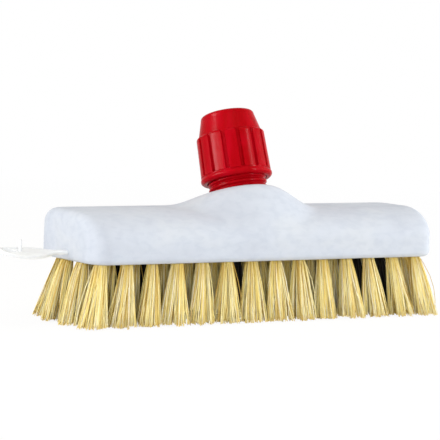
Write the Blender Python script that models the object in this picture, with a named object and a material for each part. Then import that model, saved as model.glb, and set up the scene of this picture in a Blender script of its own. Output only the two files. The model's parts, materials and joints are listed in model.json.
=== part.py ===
"""Deck scrubbing brush with a screw-down handle clamp.

A foamed plastic block, drilled underneath for separate bristle tufts, rises in the middle to a
tilted seat. A threaded socket stands in the seat, a split collet lies in its tapered mouth, and a
ribbed clamp nut draws the collet down on to the broom handle. A hang tab is let into one end.

Everything is in metres, +Z up. X runs along the block, the front of the brush faces -Y, and the
bristles stand on z = 0. The origin is under the middle of the whole brush.
"""

import math
import random

import bmesh
import bpy
from mathutils import Matrix, Vector

mm = 0.001

# Block: overall sizes and its two unlike shoulders
block_length = 230 * mm
block_width = 63 * mm
block_height = 27.2 * mm
block_corner_radius = 12 * mm
block_end_round = 10 * mm
front_wall_height = 17.5 * mm
front_shoulder_run = 20 * mm
rear_wall_height = 18.5 * mm
rear_shoulder_run = 19 * mm

# Boss: the bell-shaped rise that carries the tilted seat
socket_tilt = math.radians(19.5)
seat_height = 34.9 * mm
seat_setback = 5.2 * mm
seat_radius = 16.9 * mm
boss_half_length = 49 * mm
boss_step = 3.5 * mm

# Bristle tufts: what shows below the block, and how they are drilled and set
bristle_trim = 34 * mm
tuft_diameter = 5.2 * mm
tuft_hole_depth = 10 * mm
tuft_clearance = 0.3 * mm
tuft_strands = 8
strand_gap = 0.2 * mm
strand_flare_share = 1.35
strand_stray = 0.4 * mm
tip_ring_along = 5.4 * mm
tip_ring_across = 6.1 * mm
end_lean = 6.6 * mm
side_lean = 5 * mm
end_lean_power = 1.2
side_lean_power = 1.6
row_inset = 8.9 * mm
inner_row_spacing = 15.2 * mm
row_shift = -1.2 * mm
row_tufts = 14
rear_outer_tufts = 13
outer_row_end_inset = 10.5 * mm
inner_row_end_inset = 8.8 * mm
rear_row_end_inset = 14 * mm
dark_front_inner = (7, 12, 13)
dark_rear_inner = (3, 4)

# Handle that the clamp takes, and the socket that holds it
handle_diameter = 22.5 * mm
handle_clearance = 0.6 * mm
spigot_diameter = 29.6 * mm
spigot_hole_gap = 1.39 * mm
spigot_clearance = 0.3 * mm
spigot_floor = 2.2 * mm
spigot_barbs = 3
spigot_barb_height = 0.8 * mm
thread_diameter = 33 * mm
thread_height = 26.2 * mm
thread_chamfer = 0.8 * mm
thread_pitch = 3 * mm
socket_mouth_wall = 1.1 * mm
socket_taper_depth = 14.5 * mm
socket_taper_lead = 2.1 * mm

# Clamp nut
nut_lift = 6.7 * mm
nut_height = 39.2 * mm
nut_thread_clearance = 0.3 * mm
nut_bead_diameter = 40.4 * mm
nut_bead_radius = 2 * mm
nut_neck_diameter = 39 * mm
nut_rib_diameter = 39.6 * mm
nut_rib_top_diameter = 38.5 * mm
nut_ledge_height = 4.2 * mm
nut_rib_crown = 1.6 * mm
nut_cone_diameter = 35.6 * mm
nut_cone_foot = 26.8 * mm
nut_cone_height = 10.2 * mm
nut_top_diameter = 30.2 * mm
nut_mouth_rim = 0.3 * mm
nut_mouth_lip = 1.6 * mm
nut_mouth_clearance = 0.5 * mm
nut_inner_cone_foot = 23.8 * mm
nut_inner_cone_height = 10.6 * mm
nut_inner_cone_radius = 12.9 * mm
nut_ribs = 14
nut_clocking = math.radians(17.6)
nut_groove_width = 2 * mm
nut_groove_top_depth = 1.4 * mm
nut_groove_foot_depth = 1.7 * mm
nut_groove_foot = 4.6 * mm
nut_groove_flare = 4.4 * mm
nut_groove_flare_height = 3 * mm
tighten_turns = 1.5

# Split collet
collet_clearance = 0.3 * mm
collet_grip_clearance = 0.45 * mm
collet_taper_clearance = 0.2 * mm
collet_head_height = 8.6 * mm
collet_slot_width = 1.6 * mm
collet_slots = 4
collet_slot_bridge = 4 * mm

# Hang tab let into the left end
tab_reach = 42 * mm
tab_width = 14 * mm
tab_stem_width = 3.2 * mm
tab_stem_length = 5 * mm
tab_shoulder_reach = 22 * mm
tab_belly_reach = 26 * mm
tab_thickness = 2 * mm
tab_tongue_width = 6 * mm
tab_tongue_length = 4 * mm
tab_clearance = 0.3 * mm
tab_height = 4.6 * mm
tab_setforward = 2 * mm
tab_tilt = math.radians(14)
tab_eye_length = 9 * mm
tab_eye_width = 5.8 * mm
tab_eye_reach = 35.5 * mm
tab_peg_diameter = 1.8 * mm
tab_peg_height = 7.5 * mm
tab_peg_eye_gap = 2.4 * mm
tab_steps = 14
peg_sides = 12

# How finely round shapes are cut
bead_arc_start = math.radians(60)
turned_steps = 56
collet_steps = 32
corner_steps = 5
front_steps = 7
flat_steps = 7
rear_steps = 5
arc_steps = 4
tuft_random_seed = 7
cut_overrun = 2 * mm
weld_distance = 0.00001
smooth_angle = math.radians(35)

# Sizes that follow from those above
half_length = block_length / 2
half_width = block_width / 2
outer_row_y = half_width - row_inset
inner_row_y = inner_row_spacing / 2
outer_row_length = block_length - outer_row_end_inset * 2
inner_row_length = block_length - inner_row_end_inset * 2
rear_row_length = block_length - rear_row_end_inset * 2
tuft_radius = tuft_diameter / 2
handle_radius = handle_diameter / 2
bore_radius = handle_radius + handle_clearance
thread_radius = thread_diameter / 2
spigot_radius = spigot_diameter / 2
spigot_room = seat_height - tuft_hole_depth - spigot_hole_gap
spigot_depth = (spigot_room - spigot_radius * math.sin(socket_tilt)) / math.cos(socket_tilt)
spigot_barb_pitch = spigot_depth / (spigot_barbs + 1)
nut_bore_radius = thread_radius + nut_thread_clearance
tighten_travel = tighten_turns * thread_pitch
collet_foot = thread_height - socket_taper_depth + tighten_travel + collet_clearance
nut_top = nut_lift + nut_height
nut_rib_height = nut_cone_foot - nut_rib_crown
tab_peg_reach = tab_eye_reach - tab_eye_length / 2 - tab_peg_eye_gap


def clear_scene():
    """Remove every object that the file opens with."""
    for old in list(bpy.data.objects):
        bpy.data.objects.remove(old, do_unlink=True)


def make_collection(name):
    """A new collection in the scene."""
    collection = bpy.data.collections.new(name)
    bpy.context.scene.collection.children.link(collection)
    return collection


def make_material(name, colour, roughness):
    """A plain Principled finish."""
    material = bpy.data.materials.new(name)
    material.use_nodes = True
    shader = material.node_tree.nodes["Principled BSDF"]
    shader.inputs["Base Color"].default_value = (*colour, 1.0)
    shader.inputs["Roughness"].default_value = roughness
    shader.inputs["Metallic"].default_value = 0.0
    return material


def place_object(name, mesh, collection, parent, material=None):
    """An object for a mesh, in its collection and under its parent empty."""
    thing = bpy.data.objects.new(name, mesh)
    collection.objects.link(thing)
    thing.parent = parent
    if material is not None:
        mesh.materials.append(material)
    return thing


def mesh_from_bmesh(name, shape):
    """Turn a finished bmesh into a mesh whose faces all look outward."""
    bmesh.ops.recalc_face_normals(shape, faces=shape.faces)
    if shape.calc_volume(signed=True) < 0:
        bmesh.ops.reverse_faces(shape, faces=shape.faces)
    mesh = bpy.data.meshes.new(name)
    shape.to_mesh(mesh)
    shape.free()
    return mesh


def soften(mesh):
    """Shade round pieces smooth, with their real edges left sharp."""
    mesh.shade_smooth()
    mesh.set_sharp_from_angle(angle=smooth_angle)


def make_cutter(name, mesh, collection, parent):
    """A solid that only takes material away."""
    cutter = place_object(name, mesh, collection, parent)
    cutter.hide_render = True
    cutter.display_type = "WIRE"
    return cutter


def add_boolean(thing, tool, operation="DIFFERENCE"):
    """Cut a piece by another, or join them."""
    cut = thing.modifiers.new(tool.name, "BOOLEAN")
    cut.operation = operation
    cut.solver = "EXACT"
    cut.object = tool


def turned_piece(name, profile, closed, steps, collection, parent, material):
    """Spin a profile of (radius, height) points once round the object's own Z axis."""
    shape = bmesh.new()
    corners = [shape.verts.new((radius, 0, height)) for radius, height in profile]
    edges = [shape.edges.new(pair) for pair in zip(corners, corners[1:])]
    if closed:
        edges.append(shape.edges.new((corners[-1], corners[0])))
    bmesh.ops.spin(
        shape, geom=corners + edges, axis=(0, 0, 1), cent=(0, 0, 0), angle=2 * math.pi,
        steps=steps, use_merge=True)
    bmesh.ops.remove_doubles(shape, verts=shape.verts, dist=weld_distance)
    mesh = mesh_from_bmesh(name, shape)
    soften(mesh)
    return place_object(name, mesh, collection, parent, material)


def arc_points(centre, radius, start, end, steps):
    """Points of (radius, height) along an arc, from one angle to another."""
    points = []
    for step in range(steps + 1):
        angle = start + (end - start) * step / steps
        points.append((centre[0] + radius * math.cos(angle), centre[1] + radius * math.sin(angle)))
    return points


# Block


def seat_plane(y):
    """Height of the tilted seat's plane above the block's underside."""
    return seat_height - (y - seat_setback) * math.tan(socket_tilt)


def boss_share(x, y):
    """How far a point of the block's top is drawn up to the seat: 1 on the seat, 0 at the foot."""
    across = y - seat_setback
    distance = math.hypot(x, across)
    if distance <= seat_radius:
        return 1.0
    reach_across = half_width + math.copysign(seat_setback, -across)
    angle = math.atan2(across / reach_across, x / boss_half_length)
    foot = math.hypot(boss_half_length * math.cos(angle), reach_across * math.sin(angle))
    fall = min(1.0, (distance - seat_radius) / (foot - seat_radius))
    return 0.5 * (1 + math.cos(math.pi * fall))


def rounded_inset(x, radius):
    """How far a rounded edge of the block has drawn in at this place along its length."""
    past = max(0.0, abs(x) - (half_length - radius))
    return radius - math.sqrt(max(0.0, radius * radius - past * past))


def block_section(x):
    """The block's outline across, from the front foot over the top to the rear foot."""
    reach = half_width - rounded_inset(x, block_corner_radius)
    crown = block_height - rounded_inset(x, block_end_round)
    width_scale = reach / half_width
    height_scale = crown / block_height
    front_run = front_shoulder_run * width_scale
    rear_run = rear_shoulder_run * width_scale
    front_wall = front_wall_height * height_scale
    rear_wall = rear_wall_height * height_scale
    quarter = math.pi / 2
    outline = []
    for step in range(front_steps + 1):
        turn = quarter * step / front_steps
        y = -reach + front_run * (1 - math.cos(turn))
        outline.append((y, front_wall + (crown - front_wall) * math.sin(turn)))
    flat_start = -reach + front_run
    flat_end = reach - rear_run
    for step in range(1, flat_steps):
        outline.append((flat_start + (flat_end - flat_start) * step / flat_steps, crown))
    for step in range(rear_steps + 1):
        turn = quarter * (1 - step / rear_steps)
        y = reach - rear_run * (1 - math.cos(turn))
        outline.append((y, rear_wall + (crown - rear_wall) * math.sin(turn)))
    raised = []
    for y, z in outline:
        raised.append((y, z + (seat_plane(y) - z) * boss_share(x, y)))
    return [(-reach, 0.0)] + raised + [(reach, 0.0)]


def block_stations():
    """Places along the block where its outline is taken: close together where the shape changes."""
    corner_start = half_length - block_corner_radius
    ends = []
    for step in range(corner_steps + 1):
        ends.append(corner_start + block_corner_radius * math.sin(math.pi / 2 * step / corner_steps))
    steps = round(boss_half_length / boss_step)
    boss = [boss_half_length * step / steps for step in range(1, steps + 1)]
    right = boss + ends
    return [-x for x in reversed(right)] + [0.0] + right


def block_mesh():
    """Loft the block through its outlines, with a flat underside and flat ends."""
    shape = bmesh.new()
    rings = []
    for x in block_stations():
        rings.append([shape.verts.new((x, y, z)) for y, z in block_section(x)])
    for ring, following in zip(rings, rings[1:]):
        for index in range(len(ring) - 1):
            shape.faces.new((ring[index], ring[index + 1], following[index + 1], following[index]))
    shape.faces.new(rings[0])
    shape.faces.new(rings[-1])
    shape.faces.new([ring[0] for ring in rings] + [ring[-1] for ring in reversed(rings)])
    return mesh_from_bmesh("block", shape)


# Bristle tufts


def tuft_rows():
    """Each row's name, distance from the middle, number of tufts, length and dark tufts."""
    return [
        ("front_outer_tuft", -outer_row_y, row_tufts, outer_row_length, ()),
        ("front_inner_tuft", -inner_row_y, row_tufts, inner_row_length, dark_front_inner),
        ("rear_inner_tuft", inner_row_y, row_tufts, inner_row_length, dark_rear_inner),
        ("rear_outer_tuft", outer_row_y, rear_outer_tufts, rear_row_length, ()),
    ]


def tuft_places():
    """Name, drilled place and darkness of every tuft, row by row."""
    places = []
    for row_name, y, count, length, dark_numbers in tuft_rows():
        for index in range(count):
            x = row_shift + length * (index / (count - 1) - 0.5)
            places.append((f"{row_name}_{index + 1:02d}", x, y, index + 1 in dark_numbers))
    return places


def tuft_hole_mesh():
    """One cutter with a blind hole's cylinder for every tuft."""
    shape = bmesh.new()
    depth = tuft_hole_depth + cut_overrun
    for _, x, y, _ in tuft_places():
        bmesh.ops.create_cone(
            shape, cap_ends=True, segments=tuft_strands,
            radius1=tuft_radius + tuft_clearance, radius2=tuft_radius + tuft_clearance, depth=depth,
            matrix=Matrix.Translation((x, y, tuft_hole_depth - depth / 2)))
    return mesh_from_bmesh("tuft_holes", shape)


def tuft_lean(x, y):
    """How far a tuft's tips stand out from its hole: more towards the ends and the sides."""
    along = math.copysign(end_lean * abs(x / (outer_row_length / 2)) ** end_lean_power, x)
    across = math.copysign(side_lean * abs(y / outer_row_y) ** side_lean_power, y)
    return along, across


def tuft_mesh(name, x, y, chance):
    """A bound root plug whose lower face divides into flaring strands, trimmed level."""
    plug_length = tuft_hole_depth - tuft_clearance
    shape = bmesh.new()
    bmesh.ops.create_cone(
        shape, cap_ends=True, segments=tuft_strands, radius1=tuft_radius, radius2=tuft_radius,
        depth=plug_length, matrix=Matrix.Translation((x, y, plug_length / 2)))
    shape.faces.ensure_lookup_table()
    underside = min(shape.faces, key=lambda face: face.calc_center_median().z)
    wedges = bmesh.ops.poke(shape, faces=[underside])["faces"]
    bmesh.ops.inset_individual(shape, faces=wedges, thickness=strand_gap)
    strands = bmesh.ops.extrude_discrete_faces(shape, faces=wedges)["faces"]
    lean_along, lean_across = tuft_lean(x, y)
    for strand in strands:
        root = strand.calc_center_median()
        angle = math.atan2(root.y - y, root.x - x)
        tip_x = x + lean_along + tip_ring_along * math.cos(angle)
        tip_y = y + lean_across + tip_ring_across * math.sin(angle)
        stray = Vector([chance.uniform(-strand_stray, strand_stray) for _ in range(2)] + [0])
        tip = Vector((tip_x, tip_y, -bristle_trim)) + stray
        for corner in strand.verts:
            corner.co = tip + (corner.co - root) * strand_flare_share
    return mesh_from_bmesh(name, shape)


# Handle clamp


def socket_profile():
    """The socket as a cup: its bore, tapered mouth, threaded outside and barbed spigot."""
    floor = spigot_floor - spigot_depth
    mouth_radius = thread_radius - socket_mouth_wall
    taper_foot = thread_height - socket_taper_depth
    taper_radius = mouth_radius - socket_taper_lead
    profile = [(0.0, floor), (bore_radius, floor), (bore_radius, taper_foot)]
    profile += [(taper_radius, taper_foot), (mouth_radius, thread_height)]
    profile += [(thread_radius - thread_chamfer, thread_height)]
    profile += [(thread_radius, thread_height - thread_chamfer), (thread_radius, spigot_clearance)]
    profile += [(spigot_radius, spigot_clearance)]
    for barb in range(1, spigot_barbs + 1):
        foot = -barb * spigot_barb_pitch
        profile += [(spigot_radius, foot), (spigot_radius - spigot_barb_height, foot)]
    profile += [(spigot_radius - spigot_barb_height, -spigot_depth), (0.0, -spigot_depth)]
    return profile


def socket_taper_radius(height):
    """Radius of the socket's tapered mouth at a height above the seat."""
    mouth_radius = thread_radius - socket_mouth_wall
    return mouth_radius - (thread_height - height) * socket_taper_lead / socket_taper_depth


def nut_inner_radius(height):
    """Radius of the nut's inner cone at a height above the seat."""
    foot = nut_lift + nut_inner_cone_foot
    fall = (nut_bore_radius - nut_inner_cone_radius) / nut_inner_cone_height
    return nut_bore_radius - (height - foot) * fall


def nut_profile():
    """The nut's wall, as a closed loop from its mouth down the outside and up the bore."""
    cone_foot = nut_lift + nut_cone_foot
    cone_top = cone_foot + nut_cone_height
    top_radius = nut_top_diameter / 2
    mouth_radius = handle_radius + nut_mouth_clearance
    rib_top = nut_lift + nut_rib_height
    bead_centre = (nut_bead_diameter / 2 - nut_bead_radius, nut_lift + nut_bead_radius)
    round_drop = nut_top - cone_top
    round_reach = top_radius - mouth_radius - nut_mouth_rim
    profile = [(mouth_radius, nut_top)]
    for step in range(arc_steps + 1):
        turn = math.pi / 2 * (1 - step / arc_steps)
        radius = top_radius - round_reach * (1 - math.cos(turn))
        profile.append((radius, cone_top + round_drop * math.sin(turn)))
    cone_radius = nut_cone_diameter / 2
    crown_reach = nut_rib_top_diameter / 2 - cone_radius
    profile.append((cone_radius, cone_foot))
    for step in range(1, arc_steps + 1):
        turn = math.pi / 2 * (1 - step / arc_steps)
        height = rib_top + nut_rib_crown * math.sin(turn)
        profile.append((cone_radius + crown_reach * math.cos(turn), height))
    bead_top = nut_lift + nut_bead_radius * 2
    profile.append((nut_rib_diameter / 2, nut_lift + nut_ledge_height))
    profile.append((nut_neck_diameter / 2, bead_top))
    profile += arc_points(bead_centre, nut_bead_radius, bead_arc_start, -math.pi / 2, arc_steps)
    inner_foot = nut_lift + nut_inner_cone_foot
    profile += [(nut_bore_radius, nut_lift), (nut_bore_radius, inner_foot)]
    inner_top = inner_foot + nut_inner_cone_height
    profile += [(nut_inner_cone_radius, inner_top), (mouth_radius, inner_top + nut_mouth_lip)]
    return profile


def nut_groove_mesh():
    """Cutters for the grooves between the nut's grip pads, each flaring at its upper end."""
    foot = nut_lift + nut_groove_foot
    top = nut_lift + nut_rib_height + nut_rib_crown + cut_overrun
    flare_foot = top - cut_overrun - nut_groove_flare_height
    half = nut_groove_width / 2
    flare = nut_groove_flare / 2
    floor_top = nut_rib_top_diameter / 2 - nut_groove_top_depth
    floor_foot = nut_rib_diameter / 2 - nut_groove_foot_depth
    outline = [(half, foot), (half, flare_foot)]
    for step in range(1, arc_steps + 1):
        turn = math.pi / 2 * step / arc_steps
        width = half + (flare - half) * (1 - math.cos(turn))
        outline.append((width, flare_foot + nut_groove_flare_height * math.sin(turn)))
    outline.append((flare, top))
    full = outline + [(-width, height) for width, height in reversed(outline)]
    shape = bmesh.new()
    for groove in range(nut_ribs):
        spin = Matrix.Rotation(nut_clocking + 2 * math.pi * groove / nut_ribs, 4, "Z")
        inner = []
        for across, height in full:
            radius = floor_foot + (floor_top - floor_foot) * (height - foot) / (top - foot)
            inner.append(shape.verts.new(spin @ Vector((radius, across, height))))
        face = shape.faces.new(inner)
        grown = bmesh.ops.extrude_face_region(shape, geom=[face])["geom"]
        outward = spin @ Vector((nut_bead_diameter / 2, 0, 0))
        moved = [part for part in grown if isinstance(part, bmesh.types.BMVert)]
        bmesh.ops.translate(shape, verts=moved, vec=outward)
    return mesh_from_bmesh("nut_grooves", shape)


def collet_head_foot():
    """Height of the underside of the collet's head: it clears the socket when fully tightened."""
    return thread_height + tighten_travel + collet_clearance


def collet_profile():
    """The collet's wall, as a closed loop from its top down the outside and up the grip bore."""
    head_foot = collet_head_foot()
    top = head_foot + collet_head_height
    grip_radius = handle_radius + collet_grip_clearance
    slant = math.hypot(nut_inner_cone_height, nut_bore_radius - nut_inner_cone_radius)
    cone_gap = collet_clearance * slant / nut_inner_cone_height
    play = tighten_travel * socket_taper_lead / socket_taper_depth + collet_taper_clearance
    neck_radius = socket_taper_radius(thread_height) - play
    foot_radius = socket_taper_radius(collet_foot) - play
    return [
        (grip_radius, top),
        (nut_inner_radius(top) - cone_gap, top),
        (nut_inner_radius(head_foot) - cone_gap, head_foot),
        (neck_radius, head_foot),
        (neck_radius, thread_height),
        (foot_radius, collet_foot),
        (grip_radius, collet_foot),
    ]


def collet_slot_mesh():
    """Thin walls that slit the collet, from its foot and from its head by turns."""
    top = collet_head_foot() + collet_head_height
    length = top - collet_foot - collet_slot_bridge + cut_overrun
    shape = bmesh.new()
    for slot in range(collet_slots * 2):
        if slot % 2 == 0:
            centre = collet_foot - cut_overrun + length / 2
        else:
            centre = top + cut_overrun - length / 2
        size = Matrix.Diagonal((thread_radius, collet_slot_width, length, 1))
        shift = Matrix.Translation((thread_radius / 2 + handle_radius / 2, 0, centre))
        spin = Matrix.Rotation(math.pi * slot / collet_slots, 4, "Z")
        bmesh.ops.create_cube(shape, size=1, matrix=spin @ shift @ size)
    return mesh_from_bmesh("collet_slots", shape)


# Hang tab


def tab_half_width(reach):
    """Half the tab's width at a distance out from the block's end: a narrow stem, a belly, a round tip."""
    stem, belly = tab_stem_width / 2, tab_width / 2
    if reach < tab_belly_reach:
        share = (reach - tab_stem_length) / (tab_shoulder_reach - tab_stem_length)
        share = min(1.0, max(0.0, share))
        return stem + (belly - stem) * 0.5 * (1 - math.cos(math.pi * share))
    past = (reach - tab_belly_reach) / (tab_reach - tab_belly_reach)
    return belly * math.sqrt(1 - past * past)


def tab_outline():
    """The tab's leaf-shaped outline with its tongue, as (distance out, across) points."""
    side = []
    for step in range(tab_steps):
        reach = tab_reach * step / tab_steps
        side.append((reach, tab_half_width(reach)))
    tongue = tab_tongue_width / 2
    upper = [(-tab_tongue_length, tongue), (tab_clearance, tongue)]
    upper += [(max(reach, tab_clearance), width) for reach, width in side]
    lower = [(reach, -width) for reach, width in reversed(upper)]
    return upper + [(tab_reach, 0.0)] + lower


def tab_mesh(collection, parent):
    """A flat curve with its eye, thickened and made a mesh."""
    curve = bpy.data.curves.new("tab_outline", "CURVE")
    curve.dimensions = "2D"
    curve.fill_mode = "BOTH"
    curve.extrude = tab_thickness / 2
    eye = []
    for step in range(tab_steps):
        turn = 2 * math.pi * step / tab_steps
        along = tab_eye_reach + tab_eye_length / 2 * math.cos(turn)
        eye.append((along, tab_eye_width / 2 * math.sin(turn)))
    for loop in (tab_outline(), eye):
        spline = curve.splines.new("POLY")
        spline.points.add(len(loop) - 1)
        spline.use_cyclic_u = True
        for point, (reach, across) in zip(spline.points, loop):
            point.co = (-reach, across, 0, 1)
    flat = bpy.data.objects.new("tab_outline", curve)
    collection.objects.link(flat)
    flat.parent = parent
    bpy.context.view_layer.update()
    evaluated = flat.evaluated_get(bpy.context.evaluated_depsgraph_get())
    mesh = bpy.data.meshes.new_from_object(evaluated)
    bpy.data.objects.remove(flat, do_unlink=True)
    shape = bmesh.new()
    shape.from_mesh(mesh)
    bmesh.ops.remove_doubles(shape, verts=shape.verts, dist=weld_distance)
    bpy.data.meshes.remove(mesh)
    return mesh_from_bmesh("hang_tab", shape)


def make_brush():
    """Build every piece, then set the origin under the middle of the whole brush."""
    clear_scene()
    pieces = make_collection("deck_brush")
    cutters = make_collection("cutters")

    foam = make_material("foam_plastic", (0.80, 0.82, 0.85), 0.6)
    red = make_material("red_plastic", (0.62, 0.01, 0.03), 0.3)
    fibre = make_material("natural_bristle", (0.78, 0.66, 0.36), 0.7)
    dark_fibre = make_material("dark_bristle", (0.05, 0.05, 0.05), 0.7)
    grey = make_material("grey_plastic", (0.22, 0.22, 0.23), 0.45)
    milky = make_material("milky_plastic", (0.80, 0.83, 0.80), 0.3)

    base = bpy.data.objects.new("block_frame", None)
    pieces.objects.link(base)
    base.location = (0, 0, bristle_trim)
    axis = bpy.data.objects.new("socket_axis", None)
    pieces.objects.link(axis)
    axis.parent = base
    axis.location = (0, seat_setback, seat_height)
    axis.rotation_euler = (-socket_tilt, 0, 0)
    tab_frame = bpy.data.objects.new("tab_frame", None)
    pieces.objects.link(tab_frame)
    tab_frame.parent = base
    tab_frame.location = (-half_length, -tab_setforward, tab_height)
    tab_frame.rotation_euler = (tab_tilt, 0, 0)

    # Block, drilled for its tufts, bored for the spigot and slotted for the tab
    block = place_object("block", block_mesh(), pieces, base, foam)
    add_boolean(block, make_cutter("tuft_hole_cutter", tuft_hole_mesh(), cutters, base))
    bore = bmesh.new()
    bore_length = spigot_depth + spigot_clearance + nut_lift
    bmesh.ops.create_cone(
        bore, cap_ends=True, segments=turned_steps, radius1=spigot_radius + spigot_clearance,
        radius2=spigot_radius + spigot_clearance, depth=bore_length,
        matrix=Matrix.Translation((0, 0, nut_lift - bore_length / 2)))
    add_boolean(block, make_cutter("spigot_bore_cutter", mesh_from_bmesh("bore", bore), cutters, axis))
    slot = bmesh.new()
    slot_size = Matrix.Diagonal((
        (tab_tongue_length + tab_clearance) * 2, tab_tongue_width + tab_clearance * 2,
        tab_thickness + tab_clearance * 2, 1))
    bmesh.ops.create_cube(slot, size=1, matrix=slot_size)
    add_boolean(block, make_cutter("tab_slot_cutter", mesh_from_bmesh("slot", slot), cutters, tab_frame))
    soften(block.data)

    # Tufts
    chance = random.Random(tuft_random_seed)
    for name, x, y, is_dark in tuft_places():
        finish = dark_fibre if is_dark else fibre
        place_object(name, tuft_mesh(name, x, y, chance), pieces, base, finish)

    # Handle clamp, all on the tilted axis: the nut's bore clears the socket's screw thread
    turned_piece("threaded_socket", socket_profile(), False, turned_steps, pieces, axis, red)
    collet = turned_piece("split_collet", collet_profile(), True, collet_steps, pieces, axis, grey)
    add_boolean(collet, make_cutter("collet_slot_cutter", collet_slot_mesh(), cutters, axis))
    nut = turned_piece("clamp_nut", nut_profile(), True, turned_steps, pieces, axis, red)
    add_boolean(nut, make_cutter("nut_groove_cutter", nut_groove_mesh(), cutters, axis))

    # Hang tab
    tab = place_object("hang_tab", tab_mesh(pieces, tab_frame), pieces, tab_frame, milky)
    peg = bmesh.new()
    bmesh.ops.create_cone(
        peg, cap_ends=True, segments=peg_sides, radius1=tab_peg_diameter / 2,
        radius2=tab_peg_diameter / 2, depth=tab_peg_height,
        matrix=Matrix.Translation((-tab_peg_reach, 0, 0)) @ Matrix.Rotation(-tab_tilt, 4, "X")
        @ Matrix.Translation((0, 0, tab_peg_height / 2)))
    peg_solid = make_cutter("tab_peg", mesh_from_bmesh("tab_peg", peg), cutters, tab_frame)
    add_boolean(tab, peg_solid, "UNION")

    bpy.context.view_layer.update()
    points = []
    for thing in pieces.objects:
        if thing.type == "MESH":
            points += [thing.matrix_world @ vertex.co for vertex in thing.data.vertices]
    for side in range(2):
        reaches = [point[side] for point in points]
        base.location[side] = -(min(reaches) + max(reaches)) / 2
    bpy.context.view_layer.update()
    print("block middle", [round(value, 6) for value in base.location])
    print("seat centre", [round(value, 6) for value in axis.matrix_world.translation])


make_brush()
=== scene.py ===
# %% [markdown]
# A deck brush, dressed around its measured frame.
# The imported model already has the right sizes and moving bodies, so it is loaded first and never
# changed. Each step then looks at one piece or finish of the real brush and builds it in the space
# that the frame gives it.

# %% Load the frame
import json
import math
import random

import bmesh
import bpy
from mathutils import Matrix, Vector


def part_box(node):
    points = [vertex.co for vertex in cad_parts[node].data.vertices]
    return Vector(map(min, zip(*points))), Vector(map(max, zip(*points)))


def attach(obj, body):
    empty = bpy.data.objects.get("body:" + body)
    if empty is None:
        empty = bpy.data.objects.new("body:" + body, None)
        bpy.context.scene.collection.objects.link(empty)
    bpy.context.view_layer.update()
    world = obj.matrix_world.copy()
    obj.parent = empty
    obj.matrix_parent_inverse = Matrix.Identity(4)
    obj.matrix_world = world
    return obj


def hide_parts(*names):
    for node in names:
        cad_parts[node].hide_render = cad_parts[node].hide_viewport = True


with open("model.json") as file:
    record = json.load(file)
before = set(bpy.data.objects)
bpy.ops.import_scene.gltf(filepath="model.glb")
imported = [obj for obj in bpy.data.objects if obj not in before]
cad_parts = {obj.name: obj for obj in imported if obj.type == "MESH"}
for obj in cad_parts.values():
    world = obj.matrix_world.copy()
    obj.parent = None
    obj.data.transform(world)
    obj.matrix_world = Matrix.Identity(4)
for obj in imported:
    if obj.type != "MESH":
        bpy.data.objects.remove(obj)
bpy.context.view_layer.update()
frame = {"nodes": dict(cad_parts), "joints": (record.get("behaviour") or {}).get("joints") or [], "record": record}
mm = 0.001

# %% [markdown]
# Every place on the brush is measured from two points: the middle of the block's underside, and
# the middle of the tilted seat that carries the handle clamp. The hinge in the record lies on the
# clamp's axis, so its point and direction give the seat without typing them again. A matrix stands
# the clamp's own up direction on it.

# %% Find the block and the clamp's axis
block_low, block_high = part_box("block")
underside = Vector((
    (block_low.x + block_high.x) / 2, (block_low.y + block_high.y) / 2, block_low.z))
hinge = next(joint for joint in frame["joints"] if joint["name"] == "nut_turn")
seat = Vector(hinge["pos_m"])
clamp_up = Vector(hinge["axis"]).normalized()
seat_tilt = math.atan2(clamp_up.y, clamp_up.z)
block_place = Matrix.Translation(underside)
clamp_place = Matrix.Translation(seat) @ Matrix.Rotation(-seat_tilt, 4, "X")
print("underside", tuple(round(v, 5) for v in underside))
print("seat tilt", round(math.degrees(seat_tilt), 2))

# %% [markdown]
# Blender keeps a thing's form apart from its place: a mesh, a lamp or a lens is data, and an
# object holds it somewhere in the scene. Most steps make one of each, so short helpers do that.
# The lofted and turned forms are all rings of vertices with a skin between them, so one helper
# joins the rings and another closes the ends.

# %% Helpers for objects and meshes
def place_object(name, data, place=None):
    """Hold a mesh, lamp or lens in the scene, at a place given as a matrix."""
    thing = bpy.data.objects.new(name, data)
    bpy.context.scene.collection.objects.link(thing)
    if place is not None:
        thing.matrix_world = place
    return thing


def mesh_from(shape, name):
    """Turn a working shape into a mesh, and free the shape."""
    mesh = bpy.data.meshes.new(name)
    shape.to_mesh(mesh)
    shape.free()
    return mesh


def evaluated_mesh(thing):
    """The mesh of an object once its curves are filled or its modifiers are worked out."""
    bpy.context.view_layer.update()
    graph = bpy.context.evaluated_depsgraph_get()
    return bpy.data.meshes.new_from_object(thing.evaluated_get(graph))


def soften(mesh, sharp_degrees):
    """Shade a mesh smooth, but keep the edges where its faces meet at more than an angle."""
    mesh.shade_smooth()
    mesh.set_sharp_from_angle(angle=math.radians(sharp_degrees))


def join_rings(shape, rings):
    """Skin each ring of vertices to the next."""
    for ring, following in zip(rings, rings[1:]):
        for index in range(len(ring)):
            after = (index + 1) % len(ring)
            shape.faces.new((ring[index], ring[after], following[after], following[index]))


def cap_rings(shape, rings):
    """Close the first ring and the last."""
    shape.faces.new(rings[0])
    shape.faces.new(list(reversed(rings[-1])))


def outward(azimuth, height):
    """The direction from the brush to a camera or lamp: degrees round to the left, and up."""
    around, above = math.radians(azimuth), math.radians(height)
    return Vector((
        -math.sin(around) * math.cos(above), -math.cos(around) * math.cos(above),
        math.sin(above)))


# %% [markdown]
# The picture was taken from the front left, from just above the block, through a long lens.
# A long lens flattens the brush, so the camera stands a metre and a half away and sees a narrow
# angle. Its matrix is written from three directions: right, up and back. The horizon leans by a
# couple of degrees.

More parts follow.
